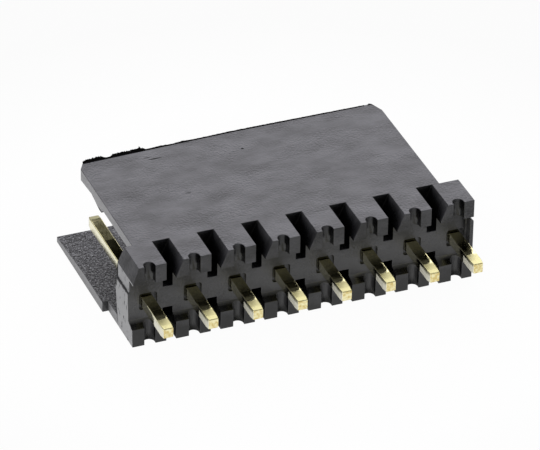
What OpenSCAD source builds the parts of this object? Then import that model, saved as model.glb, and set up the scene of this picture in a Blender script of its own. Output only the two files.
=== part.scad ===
// Shrouded pin header for a printed circuit board, lying on its side.
// One moulded housing holds a row of square contact pins: a slotted base with standoff lands,
// an upper shroud wall with a latch ridge, and a lower shroud wall with a lead-in taper.
// X runs along the row, Y runs from the solder tails to the open mouth and Z is up.
// The origin is at the middle of the footprint that the header lies on.

/* [Row] */
// Number of contact pins
contacts = 8; // [3:1:14]
// Spacing of the pins along the row
pitch = 2.54; // [2.5:0.01:3.2]

/* [Contact pins] */
// Side of the square pin
pin_side = 0.64; // [0.5:0.02:0.8]
// Solder tail, from the board seat to its tip
tail_len = 2.79; // [1.6:0.01:4.5]
// Mating post, from the board seat to its tip
post_reach = 8.85; // [6:0.05:10.5]
// Length of the taper at each tip
tip_len = 0.35; // [0.2:0.05:1]
// Taper of a tip on each side, along the row
tip_in_w = 0.04; // [0.02:0.01:0.12]
// Taper of a tip on each face, in height
tip_in_h = 0.02; // [0.01:0.01:0.12]
// Clearance around a pin in its hole
pin_clearance = 0; // [0:0.005:0.03]

/* [Base] */
// Height of the base
base_h = 4.96; // [4.9:0.02:5.6]
// Depth of the base at its top and bottom, from the board seat to its back
base_d = 2.24; // [1.8:0.02:3]
// Swell of the base's back at the parting line
back_swell = 0.34; // [0.1:0.02:0.5]
// Base beyond the first pin, at the parting line
end_first = 1.05; // [0.96:0.01:1.2]
// Draft of the first end from the parting line down to the bottom
end_draft = 0.05; // [0.01:0.01:0.08]
// Base beyond the last pin
end_last = 0.91; // [0.9:0.01:1.1]
// Height of the standoff lands, from the pin face to the board seat
standoff = 0.58; // [0.5:0.02:0.9]
// Height of the upper lands
upper_land_h = 1.08; // [0.8:0.02:1.3]
// Height of the lower lands at the board seat
lower_land_h = 1.1; // [0.8:0.02:1.2]
// Rise of the lower lands from the board seat back to the pin face
lower_land_rise = 0.26; // [0.1:0.02:0.4]
// Floor of the shroud behind the slots
floor_t = 0.6; // [0.5:0.05:1]

/* [Slots between the lands] */
// Pin axis to the straight side of its land
land_straight = 0.94; // [0.8:0.01:1.05]
// Pin axis to the top of the sloping side of its land
land_slope_top = 0.63; // [0.5:0.01:0.8]
// Pin axis to the foot of the sloping side of its land
land_slope_foot = 1.05; // [0.9:0.01:1.1]
// Height of the sloping side
slope_h = 0.97; // [0.6:0.01:1.2]
// Depth of the upper slots
upper_slot_depth = 1.88; // [1.4:0.02:1.95]
// Depth of the lower slots
lower_slot_depth = 1.75; // [1.4:0.02:1.85]
// Step in the first end face above the parting line
end_step = 0.09; // [0.02:0.01:0.12]

/* [Grooves and pin pockets] */
// Width of the groove in each land
groove_w = 0.62; // [0.4:0.02:0.8]
// Depth of the groove in each land
groove_d = 0.47; // [0.42:0.01:0.9]
// Side of the square pocket around each pin
pocket_side = 1; // [0.9:0.01:1.2]
// Depth of the pocket around each pin
pocket_d = 0.15; // [0.05:0.05:0.8]
// Corner radius of the pocket
pocket_r = 0.14; // [0.05:0.01:0.25]
// Pin axis to the middle of its pocket, towards the last end
pocket_shift = 0.1; // [0:0.01:0.12]
// Pin axis down to the middle of its pocket
pocket_drop = 0.08; // [0:0.01:0.12]

/* [Last end cheek] */
// Width of the cheek that closes the pin face at the last end
cheek_w = 0.22; // [0.15:0.01:0.3]
// Gap between the cheek and the upper land
cheek_gap = 0.13; // [0.05:0.01:0.3]
// Chamfer on the cheek's outer top corner
cheek_chamfer = 0.12; // [0.05:0.01:0.15]

/* [Upper wall] */
// Reach of both walls, from the board seat to the mouth
wall_reach = 11.1; // [10.8:0.05:12.5]
// Thickness of the upper wall
upper_wall_t = 0.58; // [0.4:0.02:0.8]
// Thickness of the upper wall's lip at the mouth
upper_lip_t = 0.72; // [0.5:0.02:0.9]
// Upper wall beyond the first pin
upper_first = 0.2; // [0:0.01:0.4]
// Upper wall short of the last pin
upper_last = 0.22; // [0:0.01:0.4]
// Board seat to the crest of the latch ridge
latch_y = 7.05; // [6.5:0.05:7.6]
// Height of the latch ridge
latch_h = 0.27; // [0.1:0.01:0.4]
// Length of the crest
latch_crest = 0.35; // [0.1:0.05:0.6]
// Length of the catch, on the base side of the crest
latch_catch = 0.3; // [0.1:0.05:1.5]
// Length of the entry slope, on the mouth side of the crest
latch_entry = 1.2; // [0.6:0.05:1.4]
// Corner cut at the mouth, along the row
corner_w = 0.3; // [0.1:0.01:0.8]
// Corner cut at the mouth, along the wall
corner_len = 0.8; // [0.3:0.05:1.2]
// Rim worn back at the first end
rim_wear = 0.26; // [0:0.02:0.28]

/* [Lower wall] */
// Thickness of the lower wall
lower_wall_t = 0.64; // [0.4:0.02:0.9]
// Thickness of the lower wall's lip at the mouth
lower_lip_t = 0.34; // [0.2:0.02:0.38]
// Board seat to the start of the lead-in taper
lower_taper_y = 6.7; // [5:0.1:9]
// Lower wall beyond the end pins
lower_end = 1.34; // [1.25:0.01:1.6]
// Board seat to the shoulder where the lower wall widens
shoulder_y = 3.75; // [3.1:0.05:5]

/* [Hidden] */
plastic = "#3b3b3e";
gold = "#d8b45c";
round_fn = 32;
// Overlap that lets a cut run clear of the face it opens
over = 1;

row = (contacts - 1) * pitch;
base_first = -row / 2 - end_first;
base_last = row / 2 + end_last;
pin_z = base_h / 2;
upper_land_z = base_h - upper_land_h;
// The parting line of the mould runs at the floor of the upper slots.
parting_z = base_h - upper_slot_depth;
slope_foot_z = base_h - slope_h;
wall_under_z = base_h - upper_wall_t;
cheek_top_z = upper_land_z - cheek_gap;
footprint_mid_y = (wall_reach - tail_len) / 2;

function pin_x(i) = -row / 2 + (i - 1) * pitch;

// Puts the header's own frame, with Y = 0 on the board seat, over the middle of its footprint.
module on_footprint() {
    translate([0, -footprint_mid_y, 0]) children();
}

// Extrudes a profile drawn in Y and Z along the row.
module along_row(x0, x1) {
    translate([x0, 0, 0]) rotate([90, 0, 90]) linear_extrude(x1 - x0) children();
}

// Extrudes a profile drawn in X and Z from y0 back to y1.
module along_depth(y0, y1) {
    translate([0, y1, 0]) rotate([90, 0, 0]) linear_extrude(y1 - y0) children();
}

// Extrudes a plan drawn in X and Y from z0 up to z1.
module along_height(z0, z1) {
    translate([0, 0, z0]) linear_extrude(z1 - z0) children();
}

// Side view of the base: two rows of standoff lands around the recessed pin face.
module base_side_view() {
    polygon([
        [0, 0],
        [0, lower_land_h],
        [standoff, lower_land_h + lower_land_rise],
        [standoff, upper_land_z],
        [0, upper_land_z],
        [0, base_h],
        [base_d, base_h],
        [base_d + back_swell, parting_z],
        [base_d, 0]
    ]);
}

// Front view of the base: its first end slopes like the lands, above a stepped parting line.
module base_front_view() {
    polygon([
        [base_first + end_draft, 0],
        [base_first, parting_z],
        [base_first + end_step, parting_z],
        [base_first + end_step, slope_foot_z],
        [pin_x(1) - land_slope_top, base_h],
        [base_last, base_h],
        [base_last, 0]
    ]);
}

// Front view of the upper slot between pin i and the next one.
module upper_slot_profile(i) {
    polygon([
        [pin_x(i) + land_straight, base_h + over],
        [pin_x(i) + land_straight, parting_z],
        [pin_x(i + 1) - land_slope_foot, parting_z],
        [pin_x(i + 1) - land_slope_foot, slope_foot_z],
        [pin_x(i + 1) - land_slope_top, base_h],
        [pin_x(i + 1) - land_slope_top, base_h + over]
    ]);
}

// Front view of the lower slot between pin i and the next one.
module lower_slot_profile(i) {
    polygon([
        [pin_x(i) + land_straight, -over],
        [pin_x(i) + land_straight, lower_slot_depth],
        [pin_x(i + 1) - land_slope_foot, lower_slot_depth],
        [pin_x(i + 1) - land_slope_foot, -over]
    ]);
}

// Plan of the round-ended groove down the lands in front of pin i.
module groove_plan(i) {
    translate([pin_x(i), 0]) {
        translate([-groove_w / 2, -over]) square([groove_w, over + groove_d - groove_w / 2]);
        translate([0, groove_d - groove_w / 2]) circle(d = groove_w, $fn = round_fn);
    }
}

// Front view of the round-cornered pocket around pin i.
module pocket_profile(i) {
    inner = pocket_side - 2 * pocket_r;
    translate([pin_x(i) + pocket_shift, pin_z - pocket_drop]) {
        square([pocket_side, inner], center = true);
        square([inner, pocket_side], center = true);
        for (sx = [-1, 1], sz = [-1, 1])
            translate([sx * inner / 2, sz * inner / 2]) circle(r = pocket_r, $fn = round_fn);
    }
}

// Front view of the cheek at the last end, with its outer top corner chamfered.
module cheek_profile() {
    polygon([
        [base_last - cheek_w, lower_land_h / 2],
        [base_last - cheek_w, cheek_top_z],
        [base_last - cheek_chamfer, cheek_top_z],
        [base_last, cheek_top_z - cheek_chamfer],
        [base_last, lower_land_h / 2]
    ]);
}

// Side view of the upper wall, from the base to the lip, with the latch ridge underneath.
module upper_wall_profile() {
    polygon([
        [base_d, base_h],
        [base_d, wall_under_z],
        [latch_y - latch_catch, wall_under_z],
        [latch_y, wall_under_z - latch_h],
        [latch_y + latch_crest, wall_under_z - latch_h],
        [latch_y + latch_crest + latch_entry, wall_under_z],
        [wall_reach - corner_len, base_h - upper_lip_t],
        [wall_reach, base_h - upper_lip_t],
        [wall_reach, base_h]
    ]);
}

// Plan of the upper wall, with cut corners and the worn stretch of rim.
module upper_wall_plan() {
    first_x = pin_x(1) - upper_first;
    last_x = pin_x(contacts) - upper_last;
    polygon([
        [first_x, base_d],
        [first_x, wall_reach - corner_len],
        [first_x + corner_w, wall_reach - rim_wear],
        [0, wall_reach],
        [last_x - corner_w, wall_reach],
        [last_x, wall_reach - corner_len],
        [last_x, base_d]
    ]);
}

// Side view of the lower wall, with its lead-in taper at the mouth.
module lower_wall_profile() {
    polygon([
        [base_d, 0],
        [base_d, lower_wall_t],
        [lower_taper_y, lower_wall_t],
        [wall_reach, lower_lip_t],
        [wall_reach, 0]
    ]);
}

// Plan of the lower wall, as wide as the base up to the shoulder and wider beyond it.
module lower_wall_plan() {
    wide_x = row / 2 + lower_end;
    narrow_x = base_first + end_draft;
    polygon([
        [narrow_x, base_d],
        [narrow_x, shoulder_y],
        [-wide_x, shoulder_y],
        [-wide_x, wall_reach],
        [wide_x, wall_reach],
        [wide_x, shoulder_y],
        [base_last, shoulder_y],
        [base_last, base_d]
    ]);
}

// The base: its side view cut to its front view.
module base() {
    intersection() {
        along_row(base_first, base_last) base_side_view();
        along_depth(0, base_d + back_swell) base_front_view();
    }
}

// The closed floor of the shroud, behind the slots and under the upper wall.
module shroud_floor() {
    reach = row / 2 + pocket_side / 2;
    along_row(-reach, reach) translate([base_d, 0]) square([floor_t, wall_under_z]);
}

// The upper wall: its side view cut to its plan.
module upper_wall() {
    intersection() {
        along_row(base_first, base_last) upper_wall_profile();
        along_height(0, base_h) upper_wall_plan();
    }
}

// The lower wall: its side view cut to its plan.
module lower_wall() {
    intersection() {
        along_row(-row / 2 - lower_end, row / 2 + lower_end) lower_wall_profile();
        along_height(0, base_h) lower_wall_plan();
    }
}

// Everything cut from the moulding at pin i: groove, pocket and pin hole.
module pin_cuts(i) {
    hole = pin_side + 2 * pin_clearance;
    along_height(-over, base_h + over) groove_plan(i);
    along_depth(0, standoff + pocket_d) pocket_profile(i);
    along_depth(0, base_d + floor_t + over) translate([pin_x(i), pin_z]) square(hole, center = true);
}

// The moulded housing, in one piece.
module housing() {
    color(plastic) on_footprint() difference() {
        union() {
            base();
            shroud_floor();
            upper_wall();
            lower_wall();
            along_depth(0, base_d / 2) cheek_profile();
        }
        for (i = [1:contacts - 1]) {
            along_depth(-over, base_d) upper_slot_profile(i);
            along_depth(-over, base_d) lower_slot_profile(i);
        }
        for (i = [1:contacts]) pin_cuts(i);
    }
}

// One view of a pin, drawn along Y, taken in on both sides at both tips.
module pin_view(taken_in) {
    end_size = pin_side - 2 * taken_in;
    polygon([
        [-end_size / 2, -tail_len],
        [-pin_side / 2, tip_len - tail_len],
        [-pin_side / 2, post_reach - tip_len],
        [-end_size / 2, post_reach],
        [end_size / 2, post_reach],
        [pin_side / 2, post_reach - tip_len],
        [pin_side / 2, tip_len - tail_len],
        [end_size / 2, -tail_len]
    ]);
}

// Contact pin i: its plan and its side view cut to each other.
module pin(i) {
    color(gold) on_footprint() translate([pin_x(i), 0, pin_z]) intersection() {
        along_height(-pin_side, pin_side) pin_view(tip_in_w);
        rotate([0, 90, 0]) along_height(-pin_side, pin_side) pin_view(tip_in_h);
    }
}

housing();
for (i = [1:contacts]) pin(i);
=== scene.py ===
# %% [markdown]
# A shrouded pin header, dressed for a product picture
#
# The header is one black moulding with eight gold-plated pins pressed through it. It lies on its lower
# shroud wall, with the solder tails towards us. The solids arrive finished from the imported model, at
# their real size and in metres, so this lesson only adds what a camera sees: broken edges, the skin of
# the plastic, the plating, the flash that the mould left on the rim, and the light.
#
# We start by loading the imported model as a fixed frame. Nothing in it is moved. We read its box for the
# board seat and the top face.

# %% Load the imported model
import math
import random

import bmesh
import bpy
from mathutils import Matrix, Vector


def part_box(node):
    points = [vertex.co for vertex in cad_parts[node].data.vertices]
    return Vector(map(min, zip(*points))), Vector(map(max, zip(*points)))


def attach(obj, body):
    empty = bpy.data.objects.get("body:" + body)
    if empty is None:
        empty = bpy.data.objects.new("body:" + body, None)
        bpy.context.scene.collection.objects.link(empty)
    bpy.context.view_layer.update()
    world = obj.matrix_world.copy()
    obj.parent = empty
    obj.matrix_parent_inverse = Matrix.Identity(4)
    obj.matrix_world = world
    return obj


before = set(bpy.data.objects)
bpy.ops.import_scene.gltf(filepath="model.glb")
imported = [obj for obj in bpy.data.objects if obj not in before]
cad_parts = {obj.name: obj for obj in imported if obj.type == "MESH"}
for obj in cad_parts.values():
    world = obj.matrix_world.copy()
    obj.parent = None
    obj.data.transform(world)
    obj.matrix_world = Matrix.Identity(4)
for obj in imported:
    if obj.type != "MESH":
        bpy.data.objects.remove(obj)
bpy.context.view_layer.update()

MM = 0.001
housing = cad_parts["housing"]
pins = [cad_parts[name] for name in sorted(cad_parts) if name.startswith("pin_")]


# %% [markdown]
# Sizes that several steps share
#
# Drawings of such a header measure depth from the board seat, the plane that the standoff lands touch.
# The frame's origin is in the middle of the footprint instead, so one shift takes a depth on the drawing
# into the frame. The seat is the lowest Y of the housing, because only the tails reach past it.

# %% Board seat and top face
seat_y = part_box("housing")[0].y
top_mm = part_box("housing")[1].z / MM


def from_seat(x, y, z):
    """A point given in millimetres along the row, behind the board seat and above the table."""
    return Vector((x * MM, seat_y + y * MM, z * MM))


print("board seat at Y", round(seat_y / MM, 3), "mm, top face at Z", round(top_mm, 3), "mm")

# %% [markdown]
# Colours
#
# A colour picker shows sRGB, the coding of screens and photographs, but a shader adds up light and needs
# linear values. One function does the change, and every colour below stays in the hex form that a picker
# shows.

# %% From a hex colour to linear light


def linear(hex_colour):
    """The linear red, green, blue and alpha of a colour such as #2b2b2d."""
    shares = [int(hex_colour[i:i + 2], 16) / 255 for i in (1, 3, 5)]
    return [s / 12.92 if s <= 0.04045 else ((s + 0.055) / 1.055) ** 2.4 for s in shares] + [1.0]


print("mid grey #808080 is", round(linear("#808080")[0], 3), "in linear light")

# %% [markdown]
# Nodes
#
# A material is a small graph. Writing one by hand takes three steps for each node: make it, set it, link
# it. One helper does all three, whatever the node. Settings go in by name. Values go to the sockets that
# the node shows, in their order, or to sockets by name. A value is a number, a colour, a socket, or a
# whole node, which stands for its first output.

# %% One helper for every node


def add(tree, kind, *values, named=None, **settings):
    """Adds a node of that kind with its settings, its values and the links into it."""
    made = tree.nodes.new("ShaderNode" + kind)
    for name, value in settings.items():
        setattr(made, name, value)
    shown = [socket for socket in made.inputs if socket.enabled]
    by_name = [(made.inputs[name], value) for name, value in (named or {}).items()]
    for socket, value in [*zip(shown, values), *by_name]:
        if isinstance(value, bpy.types.Node):
            value = next(result for result in value.outputs if result.enabled)
        if isinstance(value, bpy.types.NodeSocket):
            tree.links.new(value, socket)
        else:
            socket.default_value = value
    return made


def new_material(name):
    """An empty material and its graph."""
    material = bpy.data.materials.new(name)
    material.use_nodes = True
    material.node_tree.nodes.clear()
    return material, material.node_tree


def per_metre(size_mm):
    """The scale of a texture whose features are that many millimetres wide."""
    return 1 / (size_mm * MM)


print("a grain of 0.1 mm is a texture scale of", per_metre(0.1))

# %% [markdown]
# The plastic: glass-filled polyester, injection moulded
#
# Headers are moulded in black PBT, a polyester, with glass fibre, because it keeps its shape in a
# soldering oven. The pigment is nearly black. What the eye reads as lighter and darker faces is gloss:
# the skin mirrors the white room weakly when seen square on, and strongly when seen along the face. So
# the base colours stay dark, and the index of refraction, about 1.57 for PBT, does the work.
#
# The skin isn't the same all over, and that keeps it from looking like paint. One could unwrap the mesh
# and paint each zone by hand. Here a zone is a mask instead: a share from 0 to 1, worked out from where a
# point lies on the drawing and which way its face looks. It needs no picture file, and it stays sharp
# close up. A Map Range node makes a mask by itself: a pair of values says where it starts and where it is
# full. Where its To Max socket takes an earlier mask, the new one lies within that.

# %% Where a point lies and which way its face looks


def survey(tree):
    """A point's place in metres, its X, Y and Z on the drawing in mm, and the way its face looks."""
    place = add(tree, "TexCoord").outputs["Object"]
    to_drawing = {"Location": (0, -seat_y / MM, 0), "Scale": (1 / MM, 1 / MM, 1 / MM)}
    drawing = add(tree, "Mapping", place, named=to_drawing)
    normal = add(tree, "NewGeometry").outputs["True Normal"]
    return place, add(tree, "SeparateXYZ", drawing).outputs, add(tree, "SeparateXYZ", normal).outputs


plastic, tree = new_material("glass_filled_polyester_moulded")
place, at, facing = survey(tree)
# How far a face looks along the row, and how far it looks up or down
turned = add(tree, "Math", facing["X"], operation="ABSOLUTE")
tilted = add(tree, "Math", facing["Z"], operation="ABSOLUTE")
print("place and face of a point:", len(tree.nodes), "nodes")

# %% End faces
# They look along the row. A share of the depth in the reach leaves out the flanks of the outer pockets
SQUARE_TO_ROW = (0.97, 0.99)
END_REACH_MM = (9.72, 9.75)
DEPTH_WEIGHT = 0.3
sideways = add(tree, "MapRange", turned, *SQUARE_TO_ROW)
from_middle = add(tree, "Math", at["X"], operation="ABSOLUTE")
reach = add(tree, "Math", at["Y"], DEPTH_WEIGHT, from_middle, operation="MULTIPLY_ADD")
ends = add(tree, "MapRange", reach, *END_REACH_MM, 0, sideways)
print("with the end faces:", len(tree.nodes), "nodes")

# %% [markdown]
# The inside of the shroud
#
# The mould left the inside of the lower wall coarse: it is dark, with pale speckles. Under the upper wall
# the skin up to the end of the latch ridge is painted black, a painted shadow, and the mouth beyond it is
# painted pale, a painted light. All of that lies behind the base, so one mask for the depth holds the
# others.

# %% Inside of the shroud
BEHIND_BASE_MM = (2.3, 2.32)
LOW_MM = (0.74, 0.68)
HIGH_MM = (2.5, 2.6)
MOUTH_MM = (8.5, 8.55)
LOOKS_UP = (0.9, 0.98)
LOOKS_DOWN = (-0.6, -0.7)
behind = add(tree, "MapRange", at["Y"], *BEHIND_BASE_MM)
low_behind = add(tree, "MapRange", at["Z"], *LOW_MM, 0, behind)
wall_top = add(tree, "MapRange", facing["Z"], *LOOKS_UP, 0, low_behind)
high_behind = add(tree, "MapRange", at["Z"], *HIGH_MM, 0, behind)
roof = add(tree, "MapRange", facing["Z"], *LOOKS_DOWN, 0, high_behind)
# Painted light on the mouth of the roof, and painted shadow on the roof before it
painted_light_mouth = add(tree, "MapRange", at["Y"], *MOUTH_MM, 0, roof)
painted_shadow_roof = add(tree, "Math", roof, painted_light_mouth, operation="SUBTRACT")
inside = add(tree, "Math", wall_top, painted_light_mouth, operation="MAXIMUM")
print("with the inside of the shroud:", len(tree.nodes), "nodes")

# %% [markdown]
# Grey open faces, and painted shade in the recesses
#
# The faces that lie open, and the cheek at the last end, keep the grey pigment. The recesses are painted
# black, a painted shade. An ambient occlusion node measures how open a point lies, so it finds the slots
# and the pockets without a list of them. A few faces that it can't tell apart are picked by the way they
# look and painted black as well: the flanks over the pins that look left, such as the right side of each
# half-round groove, the floors of the slots, and the sloped tops of the lower lands.

# %% Open faces and black flanks
RECESS_MM = 2.6
RECESS_SAMPLES = 16
OPEN = (0.42, 0.82)
CHEEK_MM = (9.54, 9.56)
LOOKS_LEFT = (-0.9, -0.97)
LOOKS_PARTLY_LEFT = (-0.35, -0.75)
UPRIGHT = (0.2, 0.1)
shelter = add(tree, "AmbientOcclusion", named={"Distance": RECESS_MM * MM}, samples=RECESS_SAMPLES,
              only_local=True)
in_the_open = add(tree, "MapRange", shelter.outputs["AO"], *OPEN)
ahead = add(tree, "Math", 1, behind, operation="SUBTRACT")
leftward = add(tree, "MapRange", facing["X"], *LOOKS_LEFT, 0, ahead)
cheek = add(tree, "MapRange", at["X"], *CHEEK_MM, 0, leftward)
upright = add(tree, "MapRange", tilted, *UPRIGHT, 0, ahead)
high_upright = add(tree, "MapRange", at["Z"], *HIGH_MM, 0, upright)
left_flanks = add(tree, "MapRange", facing["X"], *LOOKS_PARTLY_LEFT, 0, high_upright)
# Where To Min takes the earlier mask instead, the new one is cut out of it
# Flanks that look left are cut out of the open faces, so they are painted black: painted shade
painted_shade_flanks = add(tree, "MapRange", ends, 0, 1, left_flanks, 0)
grey_faces = add(tree, "MapRange", painted_shade_flanks, 0, 1, in_the_open, 0)
open_faces = add(tree, "Math", cheek, grey_faces, operation="MAXIMUM")
print("with the open faces:", len(tree.nodes), "nodes")

# %% Floors of the slots and slopes of the lands
LOOKS_PARTLY_UP = (0.6, 0.7)
LOOKS_FORWARD = (-0.2, -0.35)
BELOW_TOP_MM = (top_mm - 0.3, top_mm - 0.4)
upturned = add(tree, "MapRange", facing["Z"], *LOOKS_PARTLY_UP, 0, ahead)
floors = add(tree, "MapRange", at["Z"], *BELOW_TOP_MM, 0, upturned)
slopes = add(tree, "MapRange", facing["Y"], *LOOKS_FORWARD, 0, floors)
# The floors and slopes are cut out too, and painted black: painted shade
open_skin = add(tree, "MapRange", floors, 0, 1, open_faces, 0)
print("with the floors and slopes:", len(tree.nodes), "nodes")

# %% [markdown]
# Flow marks, painted shade low on the base, and painted light
#
# Plastic that flows into a mould leaves cloudy marks, longer along the row. They are noise here,
# stretched that way. The same noise gives a cloudy edge to a painted shade low on the base, which keeps
# the skin there black. Painted light greys the pin face, between the two rows of lands, more so low down.
# It fades out down the slopes of the lower lands, and some of it lies in the half-round grooves under the
# pins.

# %% Flow marks and painted shade low on the base
FLOW_MM = 1.2
# A scale under 1 draws a pattern out in that direction
FLOW_STRETCH = 0.6
NOISE_MIDDLE = 0.5
CLOUD_RISE_MM = 3
CLEAR_OF_LOW_SHADE_ABOVE_MM = (0.5, 1.8)
drawn_out = add(tree, "Mapping", place, named={"Scale": (FLOW_STRETCH, 1, 1)})
flow_look = {"Scale": per_metre(FLOW_MM), "Detail": 5, "Roughness": 0.62}
flow = add(tree, "TexNoise", drawn_out, named=flow_look)
swing = add(tree, "Math", flow, NOISE_MIDDLE, operation="SUBTRACT")
cloudy_height = add(tree, "Math", swing, CLOUD_RISE_MM, at["Z"], operation="MULTIPLY_ADD")
# Painted shade: low on the base the skin stays black
clear_of_low_shade_on_base = add(tree, "MapRange", cloudy_height, *CLEAR_OF_LOW_SHADE_ABOVE_MM)
clear_of_low_shade = add(tree, "Math", behind, clear_of_low_shade_on_base, operation="MAXIMUM")
clear_of_painted_shade = add(tree, "Math", open_skin, clear_of_low_shade, operation="MULTIPLY")
print("with the flow marks:", len(tree.nodes), "nodes")

# %% Painted light
PIN_FACE_MM = 0.58
OFF_FACE_MM = (0.1, 0.05)
LIGHTER_BELOW_MM = (3.4, 2.3)
FACE_LIGHT = (0.2, 0.85)
SLOPE_FADE_MM = (0.32, 0.52)
GROOVE_LIGHT = 0.5
NOT_FORWARD = (0.1, 0.3)
NOT_SIDEWAYS = (0.99, 0.96)
# Painted light, which greys the pin face, the slopes near it and the lower grooves
behind_face = add(tree, "Math", at["Y"], PIN_FACE_MM, operation="SUBTRACT")
off_face = add(tree, "Math", behind_face, operation="ABSOLUTE")
pin_face = add(tree, "MapRange", off_face, *OFF_FACE_MM, 0, open_skin)
lighter_low_down = add(tree, "MapRange", at["Z"], *LIGHTER_BELOW_MM, *FACE_LIGHT)
painted_face_light = add(tree, "Math", pin_face, lighter_low_down, operation="MULTIPLY")
painted_slope_light = add(tree, "MapRange", at["Y"], *SLOPE_FADE_MM, 0, slopes)
# A groove is round, so its faces look neither straight forward nor straight along the row
curved = add(tree, "MapRange", turned, *NOT_FORWARD, 0, GROOVE_LIGHT)
grooves = add(tree, "MapRange", turned, *NOT_SIDEWAYS, 0, curved)
low_grooves = add(tree, "MapRange", at["Z"], *reversed(HIGH_MM), 0, grooves)
painted_groove_light = add(tree, "Math", low_grooves, upright, operation="MULTIPLY")
painted_light = painted_face_light
for more_painted_light in (painted_slope_light, painted_groove_light):
    painted_light = add(tree, "Math", painted_light, more_painted_light, operation="MAXIMUM")
print("with the dust:", len(tree.nodes), "nodes")

# %% [markdown]
# Pits, scraps, nicks and painted shadow
#
# The end faces were torn a little as the part left the mould, with dark pits that run up and down, and
# they are painted pale, as painted light. Scraps of black flash hang on along the parting line. A painted
# shadow darkens the end of the latch ridge's crest. The top face has a few nicks. These marks are shallow
# and finer than the mesh, so they aren't cut into it. They are spots of noise or small ellipses, and the
# cells for colour and grain darken and sink them, with the painted shadow on the roof of the shroud.

# %% Pits and scraps on the end faces, and a painted shadow on the crest
PIT_MM = 0.2
PIT_STRETCH = 0.4
PIT_LEVEL = (0.63, 0.69)
PARTING_MM = 3.08
OFF_PARTING_MM = (0.09, 0.045)
SCRAP_SIZE_MM = 0.3
SCRAP_LEVEL = (0.42, 0.47)
CREST_MM = (4.27, 4.21)
stood_up = add(tree, "Mapping", place, named={"Scale": (1, 1, PIT_STRETCH)})
pit_noise = add(tree, "TexNoise", stood_up, named={"Scale": per_metre(PIT_MM), "Detail": 3})
spots = add(tree, "MapRange", pit_noise, *PIT_LEVEL)
over_parting = add(tree, "Math", at["Z"], PARTING_MM, operation="SUBTRACT")
off_parting = add(tree, "Math", over_parting, operation="ABSOLUTE")
parting_line = add(tree, "MapRange", off_parting, *OFF_PARTING_MM)
scrap_noise = add(tree, "TexNoise", place, named={"Scale": per_metre(SCRAP_SIZE_MM)})
scraps = add(tree, "MapRange", scrap_noise, *SCRAP_LEVEL, 0, parting_line)
spots_and_scraps = add(tree, "Math", spots, scraps, operation="MAXIMUM")
base_ends = add(tree, "Math", ends, ahead, operation="MULTIPLY")
base_marks = add(tree, "Math", base_ends, spots_and_scraps, operation="MULTIPLY")
crest = add(tree, "MapRange", at["Z"], *CREST_MM, 0, high_behind)
# Painted shadow on the end of the latch ridge's crest
painted_crest_shadow = add(tree, "Math", ends, crest, operation="MULTIPLY")
print("with the pits and scraps:", len(tree.nodes), "nodes")

# %% Nicks on the top face
# Middle along the row and behind the seat, half length, half width, strength
NICKS_MM = [(-4.92, 9.9, 0.38, 0.045, 1.0), (-5.32, 10.12, 0.2, 0.035, 0.7), (-0.08, 9.2, 0.07, 0.07, 1.0),
            (-4.46, 6.03, 0.16, 0.07, 0.4)]
NICK_EDGE = (1.3, 0.6)
TOP_FACE_MM = (top_mm - 0.08, top_mm - 0.04)
top_face = add(tree, "MapRange", at["Z"], *TOP_FACE_MM)
nicks = 0
for x, y, half_long, half_wide, strength in NICKS_MM:
    shrink = Vector((per_metre(half_long), per_metre(half_wide), 0))
    to_nick = {"Location": -from_seat(x, y, 0) * shrink, "Scale": shrink}
    away = add(tree, "VectorMath", add(tree, "Mapping", place, named=to_nick), operation="LENGTH")
    nick = add(tree, "MapRange", away, *NICK_EDGE, 0, strength)
    nicks = add(tree, "Math", nicks, nick, operation="MAXIMUM")
top_nicks = add(tree, "Math", nicks, top_face, operation="MULTIPLY")
# Pits and nicks are real marks; the roof and the crest carry painted shadow
pits_and_painted_shade = painted_shadow_roof
for mark in (base_marks, painted_crest_shadow, top_nicks):
    pits_and_painted_shade = add(tree, "Math", pits_and_painted_shade, mark, operation="MAXIMUM")
print(len(NICKS_MM), "nicks, with them:", len(tree.nodes), "nodes")

# %% [markdown]
# Colour of the skin
#
# The colours go on in coats, as paint does: each coat covers what lies under it where its mask says so.
# The first is the pigment, cloudy with flow marks and blacker where nothing has rubbed it. A loop then
# mixes in the others from a list of masks and colours.

# %% Coats of colour
FLOW_LEVEL = (0.35, 0.65)
BED_STRENGTH = 0.6
SPECKLE_MM = 0.11
SPECKLE_LEVEL = (0.5, 0.6)
PALE_ABOVE_MM = (-1.5, 1.5)
clouds = add(tree, "MapRange", flow, *FLOW_LEVEL)
pigment = add(tree, "Mix", clouds, linear("#202023"), linear("#434347"), data_type="RGBA")
# Where the skin isn't clear of painted shade, it is painted near black
skin = add(tree, "Mix", clear_of_painted_shade, linear("#060607"), pigment, data_type="RGBA")
# Inside the shroud, pale speckles lie on a dark bed
bed = add(tree, "Math", inside, BED_STRENGTH, operation="MULTIPLY")
speckle_noise = add(tree, "TexNoise", place, named={"Scale": per_metre(SPECKLE_MM)})
speckles = add(tree, "MapRange", speckle_noise, *SPECKLE_LEVEL, 0, inside)
# Painted light: the ends of the base are all pale, and the end of the lower wall is a little less so
pale_wall = add(tree, "MapRange", at["Z"], *PALE_ABOVE_MM)
pale = add(tree, "Math", ahead, pale_wall, operation="MAXIMUM")
painted_light_ends = add(tree, "Math", ends, pale, operation="MULTIPLY")
# Painted light greys the pin face, the mouth and the ends, and the last coat darkens pits, nicks and
# painted shadow
coats = [(painted_light, "#4a4a4c"), (bed, "#161617"), (speckles, "#86868a"), (painted_light_mouth, "#b4b4b6"), (painted_light_ends, "#949496"),
         (pits_and_painted_shade, "#0c0c0d")]
for mask, colour in coats:
    skin = add(tree, "Mix", mask, skin, linear(colour), data_type="RGBA")
print(len(coats), "coats, with them:", len(tree.nodes), "nodes")

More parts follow.
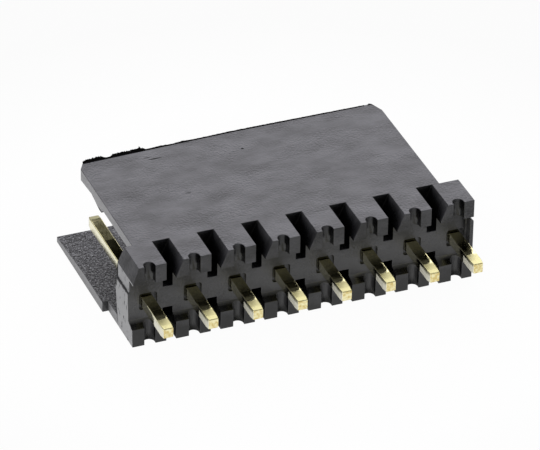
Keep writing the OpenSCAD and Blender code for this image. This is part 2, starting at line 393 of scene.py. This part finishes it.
# %% [markdown]
# Grain and gloss
#
# The mould's spark-eroded faces leave a fine grain on the plastic, which is worn away in patches. The
# inside of the shroud has a much coarser one. Both are drawn coarser and higher than they are, so that
# they show, and they stay a bump in the shader, because they are far too fine for the mesh. The recesses
# are the most polished, the open faces change a little with the flow marks, and torn plastic is the
# dullest.

# %% Grain
GRAIN_MM = 0.13
GRAIN_HEIGHT_MM = 0.045
PATCH_MM = 1.6
PATCH_LEVEL = (0.35, 0.65)
PATCH_GRAIN = (0.25, 1.4)
COARSE_GRAIN_MM = 0.17
COARSE_HEIGHT_MM = 0.4
PIT_DEPTH_MM = 0.05
patch_noise = add(tree, "TexNoise", drawn_out, named={"Scale": per_metre(PATCH_MM)})
patches = add(tree, "MapRange", patch_noise, *PATCH_LEVEL, *PATCH_GRAIN)
grainy = add(tree, "Math", clear_of_painted_shade, patches, operation="MULTIPLY")
fine_height = add(tree, "Math", grainy, GRAIN_HEIGHT_MM * MM, operation="MULTIPLY")
fine_noise = add(tree, "TexNoise", place, named={"Scale": per_metre(GRAIN_MM)})
ripple = add(tree, "Math", fine_noise, NOISE_MIDDLE, operation="SUBTRACT")
fine = add(tree, "Math", ripple, fine_height, operation="MULTIPLY")
coarse_look = {"Scale": per_metre(COARSE_GRAIN_MM), "Detail": 3, "Roughness": 0.6}
coarse_noise = add(tree, "TexNoise", place, named=coarse_look)
coarse = add(tree, "Math", coarse_noise, COARSE_HEIGHT_MM * MM, operation="MULTIPLY")
grain = add(tree, "Mix", inside, fine, coarse, data_type="FLOAT")
relief = add(tree, "Math", pits_and_painted_shade, -PIT_DEPTH_MM * MM, grain, operation="MULTIPLY_ADD")
# The relief is in metres already, so the strength and the distance stay at 1
bump = add(tree, "Bump", named={"Height": relief, "Strength": 1.0, "Distance": 1.0})
print("with the grain:", len(tree.nodes), "nodes")

# %% Gloss and the shader
PLASTIC_IOR = 1.57
FLOW_GLOSS_LEVEL = (0.3, 0.7)
OPEN_ROUGHNESS = (0.5, 0.43)
RECESS_ROUGHNESS = 0.22
INSIDE_ROUGHNESS = 0.6
PIT_ROUGHNESS = 0.95
moulded = add(tree, "MapRange", flow, *FLOW_GLOSS_LEVEL, *OPEN_ROUGHNESS)
roughness = add(tree, "Mix", open_skin, RECESS_ROUGHNESS, moulded, data_type="FLOAT")
for mask, rougher in ((inside, INSIDE_ROUGHNESS), (pits_and_painted_shade, PIT_ROUGHNESS)):
    roughness = add(tree, "Mix", mask, roughness, rougher, data_type="FLOAT")
plastic_look = {"Base Color": skin, "Roughness": roughness, "IOR": PLASTIC_IOR, "Normal": bump}
add(tree, "OutputMaterial", add(tree, "BsdfPrincipled", named=plastic_look))
print("plastic:", len(tree.nodes), "nodes")

# %% [markdown]
# The pins: gold plate over drawn bronze wire
#
# The pins are 0.64 mm square bronze wire, drawn through a die, cut, tapered at the tips and plated. A
# thin gold plate over nickel is a pale yellow mirror, softened by the drawing lines that run along the
# wire. It is duller towards the tips. The flanks are painted paler, with a silvery wedge low on the flanks
# of the tails, and the tops of the posts are painted darker at their tips: all painted reflection. The
# sheared ends are rougher and mottled, from straw to cream.
# Masks and coats do for the pins what they did for the plastic. A metal needs no index of refraction: its
# colour sets the reflection.

# %% Where the plating differs
SQUARE = (0.6, 0.9)
# The painted reflection on a flank starts some way before the tip, and leaves out a strip along the top
REFLECTION_FROM_MM = (-1.4, -1.52)
REFLECTION_BELOW_MM = (2.68, 2.56)
TAIL_DULL_MM = (-1.75, -1.95)
POST_DULL_MM = (7.5, 10.0)
DARK_REFLECTION_MM = (8.3, 8.5)
gold, tree = new_material("gold_plate_on_drawn_bronze")
place, at, facing = survey(tree)
along_wire = add(tree, "Math", facing["Y"], operation="ABSOLUTE")
cut_end = add(tree, "MapRange", along_wire, *SQUARE)
along_row = add(tree, "Math", facing["X"], operation="ABSOLUTE")
flank = add(tree, "MapRange", along_row, *SQUARE)
outer_flank = add(tree, "MapRange", at["Y"], *REFLECTION_FROM_MM, 0, flank)
painted_reflection_wedge = add(tree, "MapRange", at["Z"], *REFLECTION_BELOW_MM, 0, outer_flank)
tail_tip = add(tree, "MapRange", at["Y"], *TAIL_DULL_MM)
post_tip = add(tree, "MapRange", at["Y"], *POST_DULL_MM)
post_top = add(tree, "MapRange", facing["Z"], *SQUARE)
painted_dark_reflection = add(tree, "MapRange", at["Y"], *DARK_REFLECTION_MM, 0, post_top)
print("masks of the pins:", len(tree.nodes), "nodes")

# %% Colour of the plating
CLOUD_MM = 0.5
CLOUD_LEVEL = (0.3, 0.7)
SHEAR_MM = 0.16
SHEAR_LEVEL = (0.35, 0.65)
cloud_noise = add(tree, "TexNoise", place, named={"Scale": per_metre(CLOUD_MM), "Detail": 4})
clouds = add(tree, "MapRange", cloud_noise, *CLOUD_LEVEL)
plate = add(tree, "Mix", clouds, linear("#d5ce97"), linear("#e7e1b1"), data_type="RGBA")
# Painted reflection: paler flanks, a silvery wedge low on them, and darker tips on the tops of the posts
coats = [(tail_tip, "#c0ba88"), (flank, "#ece8c8"), (painted_reflection_wedge, "#f2f0e2"), (painted_dark_reflection, "#777455")]
for mask, colour in coats:
    plate = add(tree, "Mix", mask, plate, linear(colour), data_type="RGBA")
shear_noise = add(tree, "TexNoise", place, named={"Scale": per_metre(SHEAR_MM), "Detail": 3})
mottles = add(tree, "MapRange", shear_noise, *SHEAR_LEVEL)
sheared = add(tree, "Mix", mottles, linear("#dcc680"), linear("#fdf6c6"), data_type="RGBA")
plating = add(tree, "Mix", cut_end, plate, sheared, data_type="RGBA")
print(len(coats), "coats, with them:", len(tree.nodes), "nodes")

# %% Drawing lines, sheen and the shader
# The lines are drawn wider than a die leaves them, so that they show
LINE_MM = 0.05
LINE_STRETCH = 0.04
LINE_HEIGHT_MM = 0.0012
PLATE_ROUGHNESS = (0.08, 0.34)
REFLECTION_WEDGE_ROUGHNESS = 0.65
stretched = add(tree, "Mapping", place, named={"Scale": (1, LINE_STRETCH, 1)})
line_noise = add(tree, "TexNoise", stretched, named={"Scale": per_metre(LINE_MM), "Detail": 3})
lines = add(tree, "Math", line_noise, LINE_HEIGHT_MM * MM, operation="MULTIPLY")
bump = add(tree, "Bump", named={"Height": lines, "Strength": 1.0, "Distance": 1.0})
dull = cut_end
for tip in (tail_tip, post_tip):
    dull = add(tree, "Math", dull, tip, operation="MAXIMUM")
sheen = add(tree, "MapRange", dull, 0, 1, *PLATE_ROUGHNESS)
roughness = add(tree, "Mix", painted_reflection_wedge, sheen, REFLECTION_WEDGE_ROUGHNESS, data_type="FLOAT")
gold_look = {"Base Color": plating, "Metallic": 1.0, "Roughness": roughness, "Normal": bump}
add(tree, "OutputMaterial", add(tree, "BsdfPrincipled", named=gold_look))
print("gold:", len(tree.nodes), "nodes")

# %% [markdown]
# Broken edges
#
# No moulded or drawn edge is a perfect knife. A small bevel gives each edge a line of light. It could be
# cut into the solids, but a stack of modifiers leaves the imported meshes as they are. They are triangles
# with doubled corners, so the stack first welds the corners, then joins flat triangles into whole faces,
# then bevels only the sharp edges and keeps the flat faces flat.

# %% Bevels on every solid
EDGE_OF_PLASTIC_MM = 0.025
EDGE_OF_WIRE_MM = 0.05
EDGE_STEPS = 2
SHARP_DEG = 25
FLAT_DEG = 0.5
WELD_MM = 0.002


def break_edges(piece, width_mm, material):
    """Gives a solid its material and rounds its sharp edges."""
    piece.data.materials.clear()
    piece.data.materials.append(material)
    weld = piece.modifiers.new("weld", "WELD")
    weld.merge_threshold = WELD_MM * MM
    flats = piece.modifiers.new("flats", "DECIMATE")
    flats.decimate_type = "DISSOLVE"
    flats.angle_limit = math.radians(FLAT_DEG)
    bevel = piece.modifiers.new("bevel", "BEVEL")
    bevel.width = width_mm * MM
    bevel.segments = EDGE_STEPS
    bevel.limit_method = "ANGLE"
    bevel.angle_limit = math.radians(SHARP_DEG)
    bevel.use_clamp_overlap = False
    bevel.loop_slide = False
    bevel.harden_normals = True


break_edges(housing, EDGE_OF_PLASTIC_MM, plastic)
for pin in pins:
    break_edges(pin, EDGE_OF_WIRE_MM, gold)
print("edges broken on", 1 + len(pins), "solids")

# %% [markdown]
# Flash on the rim
#
# Where two halves of a mould meet, a little plastic creeps between them and leaves a thin ragged web, the
# flash. Here it hangs on along the left half of the upper wall's rim, torn and black, and it fades out
# towards the right. One could sculpt it. A loop is quicker to change: the flash is a thin strip that
# starts inside the rim's edge and leans back and up. Its usual height is read between a few knots along
# the row, and the height of each section changes at random, from a fixed seed, so that every run tears it
# the same way.

# %% Where the flash starts and how high it stands
# The worn rim runs back from the left corner to the middle, then straight on
RIM_LEFT_MM = (-8.79, 10.84)
RIM_BACK_MM = 11.1
ROOT_DEPTH_MM = 0.05
# Knots of the long strip and of the scrap at the right corner: place along the row and usual height
STRIP_MM = [(-8.78, 0.14), (-8.5, 0.25), (-7.6, 0.24), (-7.45, 0.09), (-7.2, 0.08), (-7.0, 0.22),
            (-5.25, 0.22), (-5.1, 0.07), (-4.3, 0.09), (-3.5, 0.05), (-2.9, 0.09), (-2.0, 0.05),
            (2.0, 0.055), (7.9, 0.035)]
SCRAP_MM = [(8.1, 0.02), (8.2, 0.07), (8.35, 0.02)]


def rim_at(x_mm):
    """The point on the top face where the flash starts, at that place along the row."""
    worn = min(x_mm / RIM_LEFT_MM[0], 1) if x_mm < 0 else 0
    return from_seat(x_mm, RIM_BACK_MM + worn * (RIM_LEFT_MM[1] - RIM_BACK_MM) - ROOT_DEPTH_MM, top_mm)


def usual_height(knots, x_mm):
    """The height between two knots, on a straight line."""
    for (start, low_mm), (end, high_mm) in zip(knots, knots[1:]):
        if x_mm <= end:
            return low_mm + (high_mm - low_mm) * (x_mm - start) / (end - start)
    return knots[-1][1]


print("flash from", STRIP_MM[0][0], "to", SCRAP_MM[-1][0], "mm along the row")

# %% One ragged strip
SECTION_MM = 0.05
ROOT_HALF_MM = 0.02
TIP_HALF_MM = 0.008
# The smallest and the largest share of the usual height, and one spike at its place along the row
TORN_SHARES = (0.75, 1.15)
SPIKE_MM = (-5.36, 0.36)
LEAN_RISE = 0.4
LEAN = Vector((0, 1, LEAN_RISE)).normalized()
ACROSS = Vector((0, -LEAN_RISE, 1)).normalized()


def flash_strip(mesh, dice, knots):
    """One ragged strip with closed ends, from four corners at every section."""
    start_mm, end_mm = knots[0][0], knots[-1][0]
    sections = round((end_mm - start_mm) / SECTION_MM)
    rings = []
    for i in range(sections + 1):
        x_mm = start_mm + (end_mm - start_mm) * i / sections
        height_mm = usual_height(knots, x_mm) * dice.uniform(*TORN_SHARES)
        if abs(x_mm - SPIKE_MM[0]) < SECTION_MM / 2:
            height_mm = SPIKE_MM[1]
        root = rim_at(x_mm) - LEAN * ROOT_DEPTH_MM * MM
        tip = rim_at(x_mm) + LEAN * height_mm * MM
        corners = [root + ACROSS * ROOT_HALF_MM * MM, root - ACROSS * ROOT_HALF_MM * MM,
                   tip - ACROSS * TIP_HALF_MM * MM, tip + ACROSS * TIP_HALF_MM * MM]
        rings.append([mesh.verts.new(corner) for corner in corners])
    for near, far in zip(rings, rings[1:]):
        for k in range(len(near)):
            after = (k + 1) % len(near)
            mesh.faces.new((near[k], far[k], far[after], near[after]))
    mesh.faces.new(rings[0])
    mesh.faces.new(rings[-1][::-1])


print("a section every", SECTION_MM, "mm")

# %% Flash of torn plastic
# The flash is torn polyester, matt, with no moulded skin. Its black and its low index, which keeps it from
# mirroring the room, are painted shade along the rim.
FLASH_SEED = 7
flash_look_painted_dark = {"Base Color": linear("#040404"), "Roughness": 1.0, "IOR": 1.15}
flash_painted_dark, tree = new_material("torn_polyester_flash_painted_dark")
add(tree, "OutputMaterial", add(tree, "BsdfPrincipled", named=flash_look_painted_dark))
strips = bmesh.new()
dice = random.Random(FLASH_SEED)
for knots in (STRIP_MM, SCRAP_MM):
    flash_strip(strips, dice, knots)
bmesh.ops.recalc_face_normals(strips, faces=strips.faces)
flash_mesh = bpy.data.meshes.new("rim_flash")
strips.to_mesh(flash_mesh)
strips.free()
flash = bpy.data.objects.new("rim_flash", flash_mesh)
bpy.context.scene.collection.objects.link(flash)
flash.data.materials.append(flash_painted_dark)
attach(flash, "root")
print("flash:", len(flash_mesh.polygons), "faces")

# %% [markdown]
# Floor, room and lamps
#
# A product picture of a dark part wants white around it: black plastic shows its form only by what it
# mirrors. The part lies on a white sheet, and the sheet lies on a grey table. The sheet is matt and keeps
# the shadow, but the camera sees it as nearly plain white, so the background comes out white without more
# light on the part. Mirror rays see the sheet white as well, except under the part, where they see it as
# it is lit. The grey table beyond the sheet darkens the sloped facets that mirror it.
#
# The room is even and dim. A large, slightly cool softbox stands behind, where the top faces mirror it,
# and a fill panel stands at the front left, for the end faces and the flanks of the pins.

# %% White sheet on a grey table
FLOOR_MM = 900
SHEET_MM = 17
SHEET_FADE_MM = 10
# A hair's breadth under the part, so that the two flat faces don't share a plane
FLOOR_GAP_MM = 0.01
bpy.ops.mesh.primitive_plane_add(size=FLOOR_MM * MM, location=(0, 0, -FLOOR_GAP_MM * MM))
floor = bpy.context.object
floor.name = "floor"
sheet, tree = new_material("matt_paper_on_grey_table")
floor.data.materials.append(sheet)
place = add(tree, "TexCoord").outputs["Object"]
distance = add(tree, "VectorMath", place, operation="LENGTH")
on_sheet = add(tree, "MapRange", distance, (SHEET_MM + SHEET_FADE_MM) * MM, SHEET_MM * MM)
paper = add(tree, "Mix", on_sheet, linear("#5a5a5a"), linear("#f4f4f4"), data_type="RGBA")
print("floor of", FLOOR_MM, "mm, sheet of", SHEET_MM, "mm around the middle")

# %% What the camera and the mirrors see of it
WHITE = linear("#ffffff")
SHOWN_TO_CAMERA = 0.965
SHOWN_IN_MIRRORS = 0.9
# The part's own shade: under the housing a mirror ray sees the sheet as it is lit
UNDER_HALF_MM = 9.6
SHADE_FADE_MM = 0.3
spot = add(tree, "SeparateXYZ", place).outputs
off_middle = add(tree, "Math", spot["X"], operation="ABSOLUTE")
beside = add(tree, "MapRange", off_middle, UNDER_HALF_MM * MM, (UNDER_HALF_MM + SHADE_FADE_MM) * MM)
in_front = add(tree, "MapRange", spot["Y"], seat_y + SHADE_FADE_MM * MM, seat_y)
unshaded = add(tree, "Math", beside, in_front, operation="MAXIMUM")
open_sheet = add(tree, "Math", on_sheet, unshaded, operation="MULTIPLY")
path = add(tree, "LightPath").outputs
mirror_ray = add(tree, "Math", path["Is Glossy Ray"], path["Is Transmission Ray"], operation="MAXIMUM")
in_mirrors = add(tree, "Math", mirror_ray, open_sheet, operation="MULTIPLY")
mirrored = add(tree, "Math", in_mirrors, SHOWN_IN_MIRRORS, operation="MULTIPLY")
seen = add(tree, "Math", path["Is Camera Ray"], SHOWN_TO_CAMERA, mirrored, operation="MULTIPLY_ADD")
matt = add(tree, "BsdfDiffuse", paper)
plain_white = add(tree, "Emission", WHITE, 1.0)
add(tree, "OutputMaterial", add(tree, "MixShader", seen, matt, plain_white))
print("floor:", len(tree.nodes), "nodes")

# %% Even, dim room
ROOM_LEVEL = 0.41
world = bpy.data.worlds.new("studio_room")
bpy.context.scene.world = world
world.use_nodes = True
world.node_tree.nodes.clear()
room = add(world.node_tree, "Background", WHITE, ROOM_LEVEL)
add(world.node_tree, "OutputWorld", room)
print("room at", ROOM_LEVEL)

# %% Softbox and fill panel
AIM = from_seat(-0.85, 3.09, 3.88)


def lamp_panel(name, direction, distance_mm, wide_mm, high_mm, radiance, tint):
    """A soft rectangular lamp, that far from the part in that direction, facing it and that radiant."""
    lamp = bpy.data.lights.new(name, "AREA")
    lamp.color = linear(tint)[:3]
    lamp.shape = "RECTANGLE"
    lamp.size = wide_mm * MM
    lamp.size_y = high_mm * MM
    lamp.energy = radiance * math.pi * lamp.size * lamp.size_y
    made = bpy.data.objects.new(name, lamp)
    made.location = AIM + Vector(direction).normalized() * distance_mm * MM
    made.rotation_euler = Vector(direction).to_track_quat("Z", "Y").to_euler()
    bpy.context.scene.collection.objects.link(made)


lamp_panel("softbox_behind", direction=(0.3, 0.78, 0.55), distance_mm=420, wide_mm=560, high_mm=480,
           radiance=1.96, tint="#f9f7ff")
lamp_panel("fill_front_left", direction=(-0.78, -0.45, 0.42), distance_mm=330, wide_mm=420, high_mm=300,
           radiance=1.3, tint="#ffffff")
print("a softbox and a fill panel, aimed at", [round(c / MM, 2) for c in AIM], "mm")

# %% [markdown]
# Camera
#
# The photograph was taken with a long lens from the front left, looking down. The angles, the distance
# and the lens were fitted to the part's parallel edges and to the pins at their standard pitch. The
# picture is 540 pixels wide, and a lens in millimetres on a 36 mm sensor gives the same field of view.

# %% Camera at the photograph's view
AZIMUTH_DEG = 22.09
ELEVATION_DEG = 33.07
ROLL_DEG = 0.98
DISTANCE_MM = 269.5
PICTURE_WIDTH_PX = 540
FOCAL_PX = 5000
SENSOR_MM = 36
CLIP_START_MM = 10

azimuth, elevation, roll = (math.radians(a) for a in (AZIMUTH_DEG, ELEVATION_DEG, ROLL_DEG))
forward = Vector((math.sin(azimuth) * math.cos(elevation),
                  math.cos(azimuth) * math.cos(elevation),
                  -math.sin(elevation)))
level = Vector((math.cos(azimuth), -math.sin(azimuth), 0))
plumb = level.cross(forward)
right = level * math.cos(roll) + plumb * math.sin(roll)
up = plumb * math.cos(roll) - level * math.sin(roll)
lens = bpy.data.cameras.new("camera")
lens.sensor_width = SENSOR_MM
lens.lens = FOCAL_PX / PICTURE_WIDTH_PX * SENSOR_MM
lens.clip_start = CLIP_START_MM * MM
camera = bpy.data.objects.new("camera", lens)
bpy.context.scene.collection.objects.link(camera)
camera.matrix_world = Matrix((right, up, -forward)).transposed().to_4x4()
camera.location = AIM - forward * DISTANCE_MM * MM
bpy.context.scene.camera = camera
bpy.context.scene.view_settings.view_transform = "Standard"
print("lens", round(lens.lens, 1), "mm, camera at", [round(c / MM, 1) for c in camera.location], "mm")
